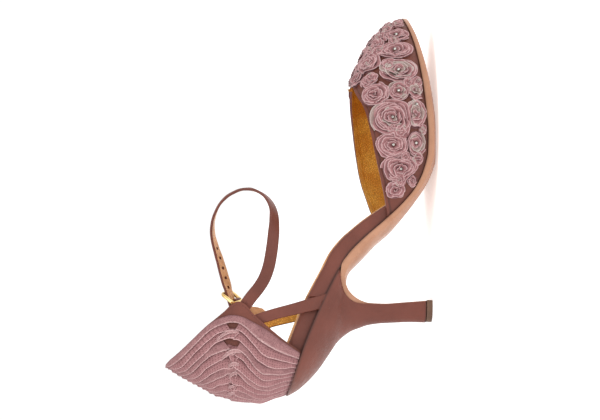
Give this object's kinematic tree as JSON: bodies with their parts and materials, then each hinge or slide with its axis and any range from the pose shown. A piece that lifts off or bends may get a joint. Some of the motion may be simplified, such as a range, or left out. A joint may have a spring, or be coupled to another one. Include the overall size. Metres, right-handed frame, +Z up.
{
  "type": "sandal",
  "caption": "High-heeled left evening sandal: pointed rose-covered toe, open arched shank, pleated closed heel and a buckled ankle strap.",
  "frame": {"origin": "on the floor, under the middle of the shoe's length and width", "axes": "+X towards the toe, +Y towards the outer side of the left foot, +Z up"},
  "size_m": [0.2358, 0.0847, 0.1572],
  "materials": {
    "satin": "soft sheen",
    "organza": "sheer ribbon",
    "gold_lining": "metallic grained",
    "sole_leather": "smooth natural",
    "heel_tip": "matte",
    "buckle": "polished"
  },
  "bodies": {
    "root": {"outsole": "sole_leather", "heel": "satin", "top_piece": "heel_tip", "insole": "satin", "sock_lining": "gold_lining", "vamp": "satin", "counter": "satin", "pleats_medial": "organza", "pleats_lateral": "organza", "side_strap_medial": "satin", "side_strap_lateral": "satin", "ankle_strap": "satin", "buckle_strap": "satin", "buckle_frame": "buckle", "buckle_prong": "buckle", "rose_medial_1": "organza", "rose_medial_2": "organza", "rose_medial_3": "organza", "rose_medial_4": "organza", "rose_medial_5": "organza", "rose_medial_6": "organza", "rose_medial_7": "organza", "rose_medial_8": "organza", "rose_medial_9": "organza", "rose_medial_10": "organza", "rose_medial_11": "organza", "rose_medial_12": "organza", "rose_medial_13": "organza", "rose_medial_14": "organza", "rose_medial_15": "organza", "rose_medial_16": "organza", "rose_medial_17": "organza", "rose_lateral_1": "organza", "rose_lateral_2": "organza", "rose_lateral_3": "organza", "rose_lateral_4": "organza", "rose_lateral_5": "organza", "rose_lateral_6": "organza", "rose_lateral_7": "organza", "rose_lateral_8": "organza", "rose_lateral_9": "organza", "rose_lateral_10": "organza", "rose_lateral_11": "organza", "rose_lateral_12": "organza", "rose_lateral_13": "organza", "rose_lateral_14": "organza", "rose_lateral_15": "organza", "rose_lateral_16": "organza", "rose_lateral_17": "organza", "rose_toe_1": "organza", "rose_toe_2": "organza", "rose_toe_3": "organza", "rose_toe_4": "organza"}
  },
  "joints": []
}
